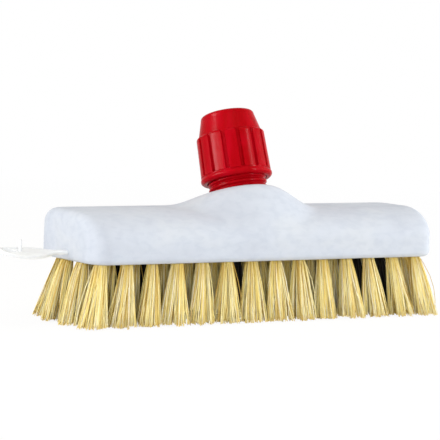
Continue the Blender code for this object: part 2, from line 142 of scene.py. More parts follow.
# %% Set up the camera
picture_pixels, lens_pixels, sensor_width = 440, 2645.6, 36
view_azimuth, view_height, view_roll = 34, 4.87, math.radians(2.25)
view_distance = 1.472
view_target = underside + Vector((-15.53 * mm, 0, 20.21 * mm))
back = outward(view_azimuth, view_height)
level_right = (-back).cross(Vector((0, 0, 1))).normalized()
level_up = level_right.cross(-back)
right = level_right * math.cos(view_roll) + level_up * math.sin(view_roll)
up = -level_right * math.sin(view_roll) + level_up * math.cos(view_roll)
camera_turn = Matrix((right, up, back)).transposed().to_4x4()
camera = place_object(
    "camera", bpy.data.cameras.new("camera"),
    Matrix.Translation(view_target + back * view_distance) @ camera_turn)
camera.data.sensor_width = sensor_width
camera.data.lens = lens_pixels * sensor_width / picture_pixels
camera.data.clip_start = 0.05
bpy.context.scene.camera = camera
bpy.context.scene.view_settings.view_transform = "Standard"
print("lens", round(camera.data.lens, 1), "mm")

# %% [markdown]
# A studio sweep is paper that curves up behind the product and is lit until it is white.
# Here one wide floor and the world do that job. Light Path tells the camera's own rays, and rays
# that a shiny or clear surface sends out, from the rays that light the brush, so the white costs
# the brush no extra light.

# %% Helpers for the white background
def seen_directly(tree):
    """A value of 1 on rays from the camera, a reflection or a clear piece, and 0 on the rest."""
    path = tree.nodes.new("ShaderNodeLightPath")
    total = path.outputs["Is Camera Ray"]
    for kind in ("Is Glossy Ray", "Is Transmission Ray"):
        highest = tree.nodes.new("ShaderNodeMath")
        highest.operation = "MAXIMUM"
        tree.links.new(total, highest.inputs[0])
        tree.links.new(path.outputs[kind], highest.inputs[1])
        total = highest.outputs[0]
    return total


def map_range(tree, value, start, end, low=0.0, high=1.0):
    """Stretch a value's range, from start to end, to run from low to high."""
    ranged = tree.nodes.new("ShaderNodeMapRange")
    for name, limit in (
            ("From Min", start), ("From Max", end), ("To Min", low), ("To Max", high)):
        ranged.inputs[name].default_value = limit
    tree.links.new(value, ranged.inputs["Value"])
    return ranged.outputs[0]


def blend_shaders(tree, share, first, second, output):
    """Mix two shaders by a share of the second, and send them to an output of this kind."""
    blend = tree.nodes.new("ShaderNodeMixShader")
    tree.links.new(share, blend.inputs[0])
    tree.links.new(first.outputs[0], blend.inputs[1])
    tree.links.new(second.outputs[0], blend.inputs[2])
    tree.links.new(blend.outputs[0], tree.nodes.new(output).inputs[0])


# %% [markdown]
# The floor glows white to the camera. Near the brush a share of it stays plain paper, so that it
# keeps the shadow under the bristles. The world gives the brush a soft light from all round, and
# shows a white wall to whatever sees it directly.

# %% Make the floor and the white world
floor_reach = 6.0
shadow_reach, white_reach, shadow_white = 0.25, 1.1, 0.93
floor_mesh = bpy.data.meshes.new("studio_floor")
floor_mesh.from_pydata(
    [(-floor_reach, -floor_reach, 0), (floor_reach, -floor_reach, 0),
     (floor_reach, floor_reach, 0), (-floor_reach, floor_reach, 0)], [], [(0, 1, 2, 3)])
studio_floor = place_object("studio_floor", floor_mesh)
paper = bpy.data.materials.new("studio_paper")
paper.use_nodes = True
tree = paper.node_tree
tree.nodes.clear()
matt = tree.nodes.new("ShaderNodeBsdfDiffuse")
matt.inputs["Color"].default_value = (0.95, 0.95, 0.95, 1)
glow = tree.nodes.new("ShaderNodeEmission")
spot = tree.nodes.new("ShaderNodeNewGeometry")
distance = tree.nodes.new("ShaderNodeVectorMath")
distance.operation = "LENGTH"
tree.links.new(spot.outputs["Position"], distance.inputs[0])
white_share = tree.nodes.new("ShaderNodeMath")
white_share.operation = "MULTIPLY"
tree.links.new(seen_directly(tree), white_share.inputs[0])
tree.links.new(
    map_range(tree, distance.outputs["Value"], shadow_reach, white_reach, shadow_white, 1.0),
    white_share.inputs[1])
blend_shaders(tree, white_share.outputs[0], matt, glow, "ShaderNodeOutputMaterial")
floor_mesh.materials.append(paper)

world = bpy.data.worlds.new("studio_world")
bpy.context.scene.world = world
world.use_nodes = True
tree = world.node_tree
tree.nodes.clear()
soft_light = tree.nodes.new("ShaderNodeBackground")
soft_light.inputs["Color"].default_value = (1.0, 0.985, 0.965, 1)
soft_light.inputs["Strength"].default_value = 0.46
white_wall = tree.nodes.new("ShaderNodeBackground")
white_wall.inputs["Color"].default_value = (1, 1, 1, 1)
white_wall.inputs["Strength"].default_value = 1.0
blend_shaders(tree, seen_directly(tree), soft_light, white_wall, "ShaderNodeOutputWorld")
print("floor and world ready")

# %% [markdown]
# The red nut shows where the lamps are: one tall highlight on its left pads and a sharper one on
# its right. Four wide soft boxes light the brush evenly from the left, the right, the front and
# overhead. They are left out of reflections, and three upright boxes that only shine in
# reflections draw the highlights on the nut. So the light's level and the highlights can be set
# apart from each other. Area lamps are the plain way to make soft boxes, because their size sets
# how soft a shadow is.

# %% Hang the soft boxes
box_distance, box_tall = 1.4, 0.8
gleam_distance, gleam_tall, gleam_height = 1.3, 1.0, 16


def soft_box(name, azimuth, height, distance, width, tall, watts, colour=(1, 1, 1)):
    """A rectangular lamp aimed at the brush, at an angle round it and above it."""
    lamp = bpy.data.lights.new(name, "AREA")
    lamp.color = colour
    lamp.shape = "RECTANGLE"
    lamp.size = width
    lamp.size_y = tall
    lamp.energy = watts
    away = outward(azimuth, height)
    holder = place_object(name, lamp)
    holder.location = view_target + away * distance
    holder.rotation_euler = away.to_track_quat("Z", "Y").to_euler()
    return holder


for name, azimuth, height, width, watts, colour in (
        ("left_box", 98, 10, 1.2, 12.8, (1.0, 0.97, 0.94)),
        ("right_box", -73, 8, 0.8, 19.4, (1.0, 0.99, 0.97)),
        ("top_box", 30, 72, 1.2, 9.0, (1.0, 0.88, 0.72)),
        ("front_fill", 26, 4, 1.2, 9.0, (0.96, 0.98, 1.0))):
    wide_box = soft_box(name, azimuth, height, box_distance, width, box_tall, watts, colour)
    wide_box.visible_glossy = False
gleams = []
for name, azimuth, width, watts in (
        ("left_gleam", 96, 0.9, 34.0), ("left_edge", 105, 0.09, 20.0),
        ("right_edge", -33, 0.07, 22.0)):
    gleam = soft_box(name, azimuth, gleam_height, gleam_distance, width, gleam_tall, watts)
    gleam.visible_diffuse = False
    gleams.append(gleam)

# %% [markdown]
# All the finishes share a few node steps: a noise in real millimetres, a ramp of colours, and a
# bump. The frame's objects are in metres, so a noise that repeats every few millimetres has a
# scale in the hundreds. Small helpers for these steps keep each finish short enough to read as a
# recipe.

# %% Helpers for the finishes
noise_low, noise_high = 0.3, 0.7


def new_finish(name):
    """A Principled material, its tree and its shader."""
    material = bpy.data.materials.new(name)
    material.use_nodes = True
    return material, material.node_tree, material.node_tree.nodes["Principled BSDF"]


def grain(tree, size, detail, distortion=0.0, stretch=(1, 1, 1)):
    """A noise whose blotches are about this size in metres, on the object's own coordinates."""
    spot = tree.nodes.new("ShaderNodeTexCoord")
    scale = tree.nodes.new("ShaderNodeMapping")
    scale.inputs["Scale"].default_value = stretch
    noise = tree.nodes.new("ShaderNodeTexNoise")
    noise.inputs["Scale"].default_value = 1 / size
    noise.inputs["Detail"].default_value = detail
    noise.inputs["Distortion"].default_value = distortion
    tree.links.new(spot.outputs["Object"], scale.inputs["Vector"])
    tree.links.new(scale.outputs[0], noise.inputs["Vector"])
    return noise.outputs["Fac"]


def colour_steps(tree, value, steps):
    """Turn a value into a colour through (position, colour) steps."""
    ramp = tree.nodes.new("ShaderNodeValToRGB")
    stops = ramp.color_ramp.elements
    while len(stops) < len(steps):
        stops.new(0.5)
    for stop, (position, colour) in zip(stops, steps):
        stop.position = position
        stop.color = (*colour, 1)
    tree.links.new(value, ramp.inputs[0])
    return ramp.outputs[0]


def multiply_colours(tree, first, second):
    """Darken one colour by another."""
    mix = tree.nodes.new("ShaderNodeMix")
    mix.data_type = "RGBA"
    mix.blend_type = "MULTIPLY"
    mix.inputs["Factor"].default_value = 1.0
    tree.links.new(first, mix.inputs["A"])
    tree.links.new(second, mix.inputs["B"])
    return mix.outputs["Result"]


def paint(tree, shader, colour):
    """Give a shader its colour."""
    tree.links.new(colour, shader.inputs["Base Color"])


def vary_gloss(tree, shader, noise, low, high):
    """Let the middle range of a noise move the roughness from low to high."""
    roughness = map_range(tree, noise, noise_low, noise_high, low, high)
    tree.links.new(roughness, shader.inputs["Roughness"])


def raise_surface(tree, shader, noise, depth, strength):
    """Bump a surface by a noise that reaches a depth in metres."""
    bump = tree.nodes.new("ShaderNodeBump")
    bump.inputs["Distance"].default_value = depth
    bump.inputs["Strength"].default_value = strength
    tree.links.new(noise, bump.inputs["Height"])
    tree.links.new(bump.outputs[0], shader.inputs["Normal"])


# %% [markdown]
# The block is moulded from foamed plastic. Gas bubbles drag through the skin as the mould fills,
# and leave a faint blue-grey marbling on the white, with fine pits that keep the surface from
# shining. Two noises of unlike size give the clouds and the streaks, and a third gives the pits.

# %% Finish for the block
foam_finish, tree, shader = new_finish("foamed_plastic")
shader.inputs["Specular IOR Level"].default_value = 0.12
lengthened = (0.6, 1, 1.2)
clouds = colour_steps(tree, grain(tree, 26 * mm, 6, 0.5, lengthened), [
    (0.34, (0.513, 0.558, 0.646)), (0.52, (0.541, 0.591, 0.677)), (0.70, (0.570, 0.614, 0.683))])
streaks = colour_steps(tree, grain(tree, 4 * mm, 6, 0.4, lengthened), [
    (0.36, (0.92, 0.932, 0.945)), (0.52, (0.975, 0.98, 0.98)), (0.70, (1.0, 1.0, 1.0))])
paint(tree, shader, multiply_colours(tree, clouds, streaks))
vary_gloss(tree, shader, grain(tree, 9 * mm, 3), 0.42, 0.60)
raise_surface(tree, shader, grain(tree, 1.1 * mm, 6), 0.06 * mm, 0.7)
print("finish", foam_finish.name)

# %% [markdown]
# The clamp is moulded from solid red plastic straight off a polished tool, so it is smooth and
# bright. What keeps it from looking painted is a slight unevenness: faint flow marks in the
# colour, and a gloss that is a little duller where hands have rubbed it.

# %% Finish for the red clamp
red_finish, tree, shader = new_finish("red_plastic")
shader.inputs["Specular IOR Level"].default_value = 0.03
paint(tree, shader, colour_steps(tree, grain(tree, 9 * mm, 3, 0.8, (1, 1, 0.5)), [
    (0.32, (0.330, 0.0005, 0.0030)), (0.52, (0.372, 0.0008, 0.0054)),
    (0.72, (0.408, 0.0013, 0.0090))]))
vary_gloss(tree, shader, grain(tree, 3 * mm, 5), 0.16, 0.28)
raise_surface(tree, shader, grain(tree, 3 * mm, 3), 0.03 * mm, 0.4)
print("finish", red_finish.name)

# %% [markdown]
# The collet grips the handle, so it is a tougher, duller grey plastic, worn matt inside its jaws.

# %% Finish for the collet
grey_finish, tree, shader = new_finish("grey_plastic")
paint(tree, shader, colour_steps(tree, grain(tree, 3 * mm, 5), [
    (0.35, (0.030, 0.031, 0.034)), (0.65, (0.055, 0.056, 0.060))]))
vary_gloss(tree, shader, grain(tree, 1.5 * mm, 4), 0.42, 0.62)
raise_surface(tree, shader, grain(tree, 0.8 * mm, 3), 0.02 * mm, 0.5)
print("finish", grey_finish.name)

# %% [markdown]
# The hang tab is milky: a little light passes through it and the rest scatters at its surface. On
# a piece this thin a pale matt colour with a small share of transmission gives that look, where
# scattering inside the piece darkened it.

# %% Finish for the hang tab
milky_finish, tree, shader = new_finish("milky_plastic")
shader.inputs["Transmission Weight"].default_value = 0.08
shader.inputs["IOR"].default_value = 1.45
paint(tree, shader, colour_steps(tree, grain(tree, 5 * mm, 3, 0.6), [
    (0.35, (0.83, 0.868, 0.905)), (0.65, (0.87, 0.906, 0.940))]))
vary_gloss(tree, shader, grain(tree, 3 * mm, 3), 0.28, 0.44)
raise_surface(tree, shader, grain(tree, 1.6 * mm, 3), 0.02 * mm, 0.5)
print("finish", milky_finish.name)

# %% [markdown]
# The bristles are plant fibre. No two strands have the same colour: most are cream to straw, some
# golden or brown. Each turns brown at its cut tip, and near the block each darkens by painted shade,
# standing in for the shadow over the roots. Random Per Island gives each loose strand a number of
# its own, so a tuft in one mesh still varies from strand to strand.

# %% Finishes for the bristles
white = (1, 1, 1)
tip_height = 3.5 * mm


def fibre_finish(name, shades, root_shadow_colour, root_shadow_height, tip_shade):
    """Strands with a shade each, painted shade at the root, brown tips, grained along their length."""
    material, tree, shader = new_finish(name)
    shader.inputs["Roughness"].default_value = 0.55
    shader.inputs["Specular IOR Level"].default_value = 0.1
    shader.inputs["Diffuse Roughness"].default_value = 1.0
    each = tree.nodes.new("ShaderNodeNewGeometry")
    own = colour_steps(tree, each.outputs["Random Per Island"], shades)
    spot = tree.nodes.new("ShaderNodeTexCoord")
    height = tree.nodes.new("ShaderNodeSeparateXYZ")
    tree.links.new(spot.outputs["Object"], height.inputs[0])
    # Painted shade: strands darken over this height above the underside, standing in for the block's shadow over
    # the roots.
    near_root = map_range(tree, height.outputs["Z"], underside.z - root_shadow_height, underside.z)
    painted_root_shadow = colour_steps(tree, near_root, [(0.0, white), (1.0, root_shadow_colour)])
    past_tip = map_range(tree, height.outputs["Z"], 0.0, tip_height)
    half_shade = tuple(0.5 + 0.5 * value for value in tip_shade)
    tip_brown = colour_steps(tree, past_tip, [(0.0, tip_shade), (0.45, half_shade), (1.0, white)])
    root_shadow_and_tip_brown = multiply_colours(tree, painted_root_shadow, tip_brown)
    lengthwise = colour_steps(tree, grain(tree, 0.5 * mm, 3, 0, (1, 1, 0.08)), [
        (0.32, (0.93, 0.90, 0.82)), (0.58, white)])
    paint(tree, shader, multiply_colours(tree, multiply_colours(tree, own, root_shadow_and_tip_brown), lengthwise))
    raise_surface(tree, shader, grain(tree, 0.3 * mm, 2, 0, (1, 1, 0.1)), 0.02 * mm, 0.4)
    return material


# The third entry of each fibre is the painted shade colour at the roots, where they lie in shadow under the block
# and between the tufts.
natural_finish = fibre_finish("natural_fibre", [
    (0.0, (0.44, 0.28, 0.07)), (0.14, (0.80, 0.61, 0.20)), (0.34, (0.93, 0.82, 0.34)),
    (0.64, (0.96, 0.90, 0.52)), (1.0, (0.98, 0.96, 0.82))],
    (0.90, 0.80, 0.53), 12 * mm, (0.95, 0.86, 0.60))
dark_finish = fibre_finish("dark_fibre", [
    (0.0, (0.010, 0.010, 0.010)), (0.7, (0.028, 0.027, 0.025)), (1.0, (0.085, 0.075, 0.060))],
    (0.8, 0.8, 0.8), 16 * mm, white)
print("finishes", natural_finish.name, dark_finish.name)

# %% [markdown]
# The block is one lofted form. Its section across is a wall, a wide shoulder at the front, a flat
# and a tighter shoulder behind, and it shrinks towards both ends. In the middle it is drawn up to
# the tilted seat. A loft is the natural way: the same outline is taken at many places along the
# length, and joined. The frame's block has the same form in fewer faces. This one takes the same
# rule in finer steps, with a lower front wall, a tighter rear shoulder and a rounded lower edge,
# as the photograph shows them at the block's right end.

# %% Shape of the block
half_length, half_width, crown_height = 115 * mm, 31.5 * mm, 27.2 * mm
plan_corner, end_round, foot_round = 12 * mm, 5.5 * mm, 3.2 * mm
front_wall, front_run = 10.5 * mm, 26.5 * mm
rear_wall, rear_run = 19.5 * mm, 15.5 * mm
seat_radius, boss_half_length = 16.9 * mm, 49 * mm
seat_height = seat.z - underside.z
seat_setback = seat.y - underside.y
last_section_margin = 0.02 * mm
foot_steps, wall_steps, shoulder_steps, flat_steps = 7, 8, 24, 20
middle_steps, end_steps = 88, 14


def drawn_up(x, y):
    """Share of the rise to the seat at a point of the block's top: 1 on the seat, 0 at its foot."""
    across = y - seat_setback
    distance = math.hypot(x, across)
    if distance <= seat_radius:
        return 1.0
    reach_across = half_width + math.copysign(seat_setback, -across)
    angle = math.atan2(across / reach_across, x / boss_half_length)
    foot = math.hypot(boss_half_length * math.cos(angle), reach_across * math.sin(angle))
    fall = min(1.0, (distance - seat_radius) / (foot - seat_radius))
    return 0.5 * (1 + math.cos(math.pi * fall))


def end_inset(x, radius):
    """How far a rounded edge has drawn in at a place along the block."""
    past = max(0.0, abs(x) - (half_length - radius))
    return radius - math.sqrt(max(0.0, radius * radius - past * past))


def plan_reach(x, inset):
    """Half the block's width at a place along it, for a plan drawn in all round by an inset."""
    corner = plan_corner - inset
    past = max(0.0, abs(x) - (half_length - plan_corner))
    return half_width - plan_corner + math.sqrt(max(0.0, corner * corner - past * past))


def foot_points(x):
    """The rounded lower edge at a place along the block: half widths and heights, going up."""
    lift = min(foot_round, end_inset(x, foot_round))
    first = math.acos(1 - lift / foot_round)
    points = []
    for step in range(foot_steps):
        turn = first + (math.pi / 2 - first) * step / foot_steps
        points.append((
            plan_reach(x, foot_round * (1 - math.sin(turn))), foot_round * (1 - math.cos(turn))))
    return points


def block_outline(x):
    """The section across the block, from one lower edge over the top to the other."""
    reach = plan_reach(x, 0)
    crown = crown_height - end_inset(x, end_round)
    width_scale, height_scale = reach / half_width, crown / crown_height
    front, rear = front_run * width_scale, rear_run * width_scale
    front_top, rear_top = front_wall * height_scale, rear_wall * height_scale
    foot = foot_points(x)
    points = [(-across, height) for across, height in foot]
    for step in range(wall_steps):
        points.append((-reach, foot_round + (front_top - foot_round) * step / wall_steps))
    for step in range(shoulder_steps + 1):
        turn = math.pi / 2 * step / shoulder_steps
        points.append((
            -reach + front * (1 - math.cos(turn)),
            front_top + (crown - front_top) * math.sin(turn)))
    flat_start, flat_end = -reach + front, reach - rear
    for step in range(1, flat_steps):
        points.append((flat_start + (flat_end - flat_start) * step / flat_steps, crown))
    for step in range(shoulder_steps + 1):
        turn = math.pi / 2 * (1 - step / shoulder_steps)
        points.append((
            reach - rear * (1 - math.cos(turn)),
            rear_top + (crown - rear_top) * math.sin(turn)))
    for step in range(wall_steps):
        points.append((reach, rear_top + (foot_round - rear_top) * (step + 1) / wall_steps))
    points += reversed(foot)
    raised = []
    for y, z in points:
        target = seat_height - (y - seat_setback) * math.tan(seat_tilt)
        share = drawn_up(x, y) if z > front_wall / 2 else 0.0
        share_of_wall = min(1.0, max(0.0, z / rear_top))
        raised.append((y, z + (target - z) * share * share_of_wall))
    return raised


def block_places():
    """Places along the block for its sections, closer together at its rounded ends."""
    start = half_length - plan_corner
    middle = [start * step / middle_steps for step in range(1, middle_steps)]
    ends = [
        start + plan_corner * math.sin(math.pi / 2 * step / end_steps)
        for step in range(end_steps + 1)]
    ends[-1] -= last_section_margin
    side = middle + ends
    return [-x for x in reversed(side)] + [0.0] + side


shape = bmesh.new()
rings = [[shape.verts.new((x, y, z)) for y, z in block_outline(x)] for x in block_places()]
join_rings(shape, rings)
cap_rings(shape, rings)
bmesh.ops.recalc_face_normals(shape, faces=shape.faces)
block_mesh = mesh_from(shape, "brush_block")
soften(block_mesh, 50)
brush_block = place_object("brush_block", block_mesh, block_place)
print("block faces", len(block_mesh.polygons))

# %% [markdown]
# Each tuft sits in its own drilled hole. The holes' places come from the frame: the top of each
# tuft is the plug that stands inside the block, so its middle is where the hole was drilled.
# One cutter mesh with a pin for each hole lets a single boolean drill them all. Each pin is centred
# on the underside, so half of its length goes in.

# %% Drill the tufts' holes
plug_start = 1 * mm
hole_radius, hole_depth, hole_sides = 2.9 * mm, 8 * mm, 20
tuft_names = sorted(name for name in frame["nodes"] if "_tuft_" in name)


def tuft_root(name):
    """The middle of a tuft's plug, from the vertices of the frame's tuft above the underside."""
    tuft = frame["nodes"][name].data
    plug = [v.co for v in tuft.vertices if v.co.z > underside.z + plug_start]
    xs, ys = [co.x for co in plug], [co.y for co in plug]
    return Vector(((min(xs) + max(xs)) / 2, (min(ys) + max(ys)) / 2, underside.z))


roots = {name: tuft_root(name) for name in tuft_names}
pins = bmesh.new()
for name in tuft_names:
    bmesh.ops.create_cone(
        pins, cap_ends=True, segments=hole_sides, radius1=hole_radius, radius2=hole_radius,
        depth=hole_depth * 2, matrix=Matrix.Translation(roots[name]))
hole_drill = place_object("hole_drill", mesh_from(pins, "hole_drill"))
cut = brush_block.modifiers.new("holes", "BOOLEAN")
cut.object = hole_drill
cut.solver = "EXACT"
drilled = evaluated_mesh(brush_block)
brush_block.modifiers.clear()
brush_block.data = drilled
bpy.data.objects.remove(hole_drill, do_unlink=True)
drilled.materials.append(foam_finish)
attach(brush_block, "root")
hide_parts("block")
print("tufts", len(tuft_names), "drilled faces", len(drilled.polygons))

# %% [markdown]
# The socket and the nut are both turned forms, so one helper skins a profile that runs all the way
# round the wall, inside and out. Each entry of the profile is a function that gives an angle, a
# radius and a height for each line of the mesh, so that a screw thread or a row of grip pads is
# part of the turned wall. A helper that only spun a profile would need a boolean for every groove,
# and leave hard edges.

# %% A helper for turned walls
def turned_wall(name, profile, lines, finish, body, node):
    """A closed wall on the clamp's axis, with this many lines running up it."""
    shape = bmesh.new()
    rings = []
    for entry in profile:
        ring = []
        for line in range(lines):
            angle, radius, height = entry(line)
            ring.append(shape.verts.new((
                radius * math.cos(angle), radius * math.sin(angle), height)))
        rings.append(ring)
    join_rings(shape, rings + rings[:1])
    bmesh.ops.recalc_face_normals(shape, faces=shape.faces)
    if shape.calc_volume(signed=True) < 0:
        bmesh.ops.reverse_faces(shape, faces=shape.faces)
    mesh = mesh_from(shape, name)
    soften(mesh, 42)
    mesh.materials.append(finish)
    thing = place_object(name, mesh, clamp_place)
    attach(thing, body)
    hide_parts(node)
    print(name, "faces", len(mesh.polygons))
    return thing


# %% [markdown]
# Between the seat and the nut the socket's thread shows: a coarse right-hand screw, 3 mm a turn,
# with rounded crests. It is a real helix. At each height the crest lies further round, so the
# radius depends on both. The thread fades out at the foot and at the mouth, as a moulded thread
# does. The rest of the socket is plain: a stepped bore, a tapered mouth and a barbed spigot.

# %% The threaded socket
socket_lines = 128
socket_angles = [2 * math.pi * step / socket_lines for step in range(socket_lines)]
crest_radius, thread_depth, thread_pitch = 16.5 * mm, 1.25 * mm, 3 * mm
thread_foot, thread_top, thread_fade = 0.5 * mm, 26.2 * mm, 1.4 * mm
crest_breadth, thread_rings = 1.7, 150
centre_radius, bore_radius, floor_height = 0.05 * mm, 11.85 * mm, -17.5 * mm
taper_radius, taper_foot = 13.3 * mm, 11.7 * mm
mouth_radius, mouth_foot, rim_radius = 15.4 * mm, 26.0 * mm, 15.2 * mm
collar_radius, collar_foot = 15.6 * mm, 0.3 * mm
barb_radius, spigot_radius = 14.8 * mm, 14.0 * mm
barb_pitch, barbs, spigot_foot = 4.925 * mm, 3, -19.7 * mm


def thread_radius(angle, height):
    """Radius of the screw at an angle and height: a broad round crest and a narrow valley."""
    phase = (height / thread_pitch - angle / (2 * math.pi)) % 1
    from_crest = abs(phase - 0.5) * 2
    valley = (0.5 * (1 - math.cos(math.pi * from_crest))) ** crest_breadth
    fade = min(1.0, (height - thread_foot) / thread_fade, (thread_top - height) / thread_fade)
    return crest_radius - thread_depth * (1 - (1 - valley) * max(0.0, fade))


def plain(radius, height):
    """A profile entry that is round."""
    return lambda line: (socket_angles[line], radius, height)


def threaded(height):
    """A profile entry on the screw."""
    return lambda line: (
        socket_angles[line], thread_radius(socket_angles[line], height), height)


socket_profile = [
    plain(centre_radius, floor_height), plain(bore_radius, floor_height),
    plain(bore_radius, taper_foot), plain(taper_radius, taper_foot),
    plain(mouth_radius, mouth_foot), plain(rim_radius, thread_top)]
for step in range(thread_rings + 1):
    socket_profile.append(
        threaded(thread_top - (thread_top - thread_foot) * step / thread_rings))
socket_profile += [plain(collar_radius, collar_foot), plain(barb_radius, collar_foot)]
for barb in range(1, barbs + 1):
    for radius in (barb_radius, spigot_radius):
        socket_profile.append(plain(radius, -barb * barb_pitch))
socket_profile += [plain(spigot_radius, spigot_foot), plain(centre_radius, spigot_foot)]
red_socket = turned_wall(
    "red_socket", socket_profile, socket_lines, red_finish, "root", "threaded_socket")

# %% [markdown]
# The nut's grip has fourteen pads with narrow grooves between them. Each groove is a flat floor
# with a small round at its walls, and it flares at its upper end, so every pad ends in an arch.
# The lines of the mesh follow the grooves: at each height the angles of a groove's walls are worked
# out first, and the vertices are placed on them. That keeps the walls crisp with few faces.

# %% Shape of the grip
pads = 14
clocking = math.radians(17.6)
nut_foot, nut_top = 6.7 * mm, 45.9 * mm
ledge, groove_foot = 4.2 * mm, 4.6 * mm
cone_foot, cone_height = 26.8 * mm, 10.2 * mm
cone_radius, cone_top_radius = 17.8 * mm, 15.1 * mm
pad_foot_radius, pad_top_radius = 19.8 * mm, 19.25 * mm
pad_crown, pad_bulge = 1.6 * mm, 0.05 * mm
floor_foot_radius, floor_top_radius = 18.1 * mm, 17.85 * mm
groove_half, flare_half, flare_height = 1.0 * mm, 2.2 * mm, 3 * mm
wall_half = 0.22 * mm
floor_shares = (0.0, 0.55)
wall_rises = ((0.0, 0.0), (0.3, 0.12), (0.55, 0.55), (0.8, 0.9), (1.0, 1.0))
face_shares = (0.2, 0.5, 0.8, 1.0)
lines_per_pad = 2 * (len(floor_shares) + len(wall_rises) + len(face_shares) - 1)


def pad_radius(height):
    """Radius of the pads' faces at a height above the nut's foot, rounding in at the crown."""
    share = (height - ledge) / (cone_foot - pad_crown - ledge)
    radius = pad_foot_radius + (pad_top_radius - pad_foot_radius) * min(1.0, share)
    past = max(0.0, height - (cone_foot - pad_crown)) / pad_crown
    return cone_radius + (radius - cone_radius) * math.sqrt(max(0.0, 1 - past * past))


def floor_radius(height):
    """Radius of the grooves' floors at a height above the nut's foot."""
    share = min(1.0, max(0.0, (height - groove_foot) / (cone_foot - groove_foot)))
    rise = min(1.0, max(0.0, (height - ledge) / (groove_foot - ledge)))
    pad = pad_radius(height)
    floor = floor_foot_radius + (floor_top_radius - floor_foot_radius) * share
    return pad + (min(floor, pad) - pad) * rise


def groove_reach(height):
    """Half the width of a groove at a height, wider where it flares."""
    past = min(1.0, max(0.0, (height - (cone_foot - flare_height)) / flare_height))
    return groove_half + (flare_half - groove_half) * (1 - math.sqrt(max(0.0, 1 - past * past)))


def gripped(height):
    """A profile entry across the pads and grooves."""
    pad, floor, reach = pad_radius(height), floor_radius(height), groove_reach(height)
    half_pitch = math.pi / pads
    offsets = [((reach - wall_half) * share / pad, 0.0) for share in floor_shares]
    for share, rise in wall_rises:
        offsets.append(((reach - wall_half + 2 * wall_half * share) / pad, rise))
    start = (reach + wall_half) / pad
    for share in face_shares:
        offsets.append((start + (half_pitch - start) * share, 1.0))
    one_side = offsets[1:-1]
    other_side = [(-angle, rise) for angle, rise in reversed(one_side)]
    around = other_side + [offsets[0]] + one_side + [offsets[-1]]

    def entry(line):
        pad_number, place = divmod(line, lines_per_pad)
        angle, rise = around[place]
        bulge = pad_bulge * math.cos(min(1.0, abs(angle) / half_pitch) * math.pi) * rise
        radius = floor + (pad - floor) * rise - bulge
        return clocking + 2 * math.pi * pad_number / pads + angle, radius, nut_foot + height

    return entry


grip_lines = gripped(ledge)


def smooth(radius, height):
    """A profile entry that is round, on the same lines as the pads."""
    return lambda line: (grip_lines(line)[0], radius, nut_foot + height)


print("lines round the nut", pads * lines_per_pad)

# %% [markdown]
# The nut's profile starts at its mouth and runs down the outside: the rounded rim, the smooth cone,
# the pads' crown, the flare of the grooves, the straight grip, the ledge and the rolled bead. It
# comes back up the inside, where a plain bore clears the thread and a taper clears the collet. The
# two short tables give radii and heights in millimetres.

# %% The clamp nut
mouth, rim = 11.75 * mm, 0.3 * mm
bead_radius, bead_middle, bead_start, bead_turn = 2 * mm, 18.2 * mm, 50, 140
ledge_edge = ((19.72, 4.05), (19.5, 3.95))
inner_wall = ((17.0, 0.0), (16.8, 0.25), (16.8, 23.8), (12.9, 34.4), (11.75, 36.0))
rim_steps, cone_steps, crown_steps, flare_steps = 12, 8, 12, 14
grip_steps, ledge_steps, bead_steps = 20, 4, 16
nut_height = nut_top - nut_foot
round_reach = cone_top_radius - mouth - rim
round_drop = nut_height - cone_foot - cone_height
flare_foot = cone_foot - flare_height
nut_profile = [smooth(mouth, nut_height - rim), smooth(mouth + rim, nut_height)]
for step in range(1, rim_steps + 1):
    turn = math.pi / 2 * (1 - step / rim_steps)
    nut_profile.append(smooth(
        cone_top_radius - round_reach * (1 - math.cos(turn)),
        cone_foot + cone_height + round_drop * math.sin(turn)))
for step in range(1, cone_steps + 1):
    share = step / cone_steps
    nut_profile.append(smooth(
        cone_top_radius + (cone_radius - cone_top_radius) * share,
        cone_foot + cone_height * (1 - share)))
for step in range(1, crown_steps + 1):
    fall = 1 - math.cos(math.pi / 2 * step / crown_steps)
    nut_profile.append(gripped(cone_foot - pad_crown * fall))
for step in range(1, flare_steps + 1):
    nut_profile.append(gripped(
        cone_foot - pad_crown - (flare_height - pad_crown) * step / flare_steps))
for step in range(1, grip_steps + 1):
    nut_profile.append(gripped(flare_foot + (groove_foot - flare_foot) * step / grip_steps))
for step in range(1, ledge_steps + 1):
    nut_profile.append(gripped(groove_foot + (ledge - groove_foot) * step / ledge_steps))
nut_profile += [smooth(radius * mm, height * mm) for radius, height in ledge_edge]
for step in range(bead_steps + 1):
    turn = math.radians(bead_start - bead_turn * step / bead_steps)
    nut_profile.append(smooth(
        bead_middle + bead_radius * math.cos(turn), bead_radius * (1 + math.sin(turn))))
nut_profile += [smooth(radius * mm, height * mm) for radius, height in inner_wall]
red_nut = turned_wall(
    "red_nut", nut_profile, pads * lines_per_pad, red_finish, "nut", "clamp_nut")

# %% [markdown]
# The collet is seen only from above, down the nut's mouth. The frame's own piece has the right form
# there, with its eight slits, so it stays and only takes its finish.

# %% The collet keeps its frame piece
collet = frame["nodes"]["split_collet"]
collet.data.materials.clear()
collet.data.materials.append(grey_finish)
print("collet faces", len(collet.data.polygons))

# %% [markdown]
# The hang tab is a thin leaf on a narrow stem, with an eye, moulded in one with a small upright
# peg. A flat curve with a second loop for the eye fills itself and, with a little bevel, gets the
# soft edge of a moulded part. The tab is rolled to one side, and its tip has been bent up a little
# in use.

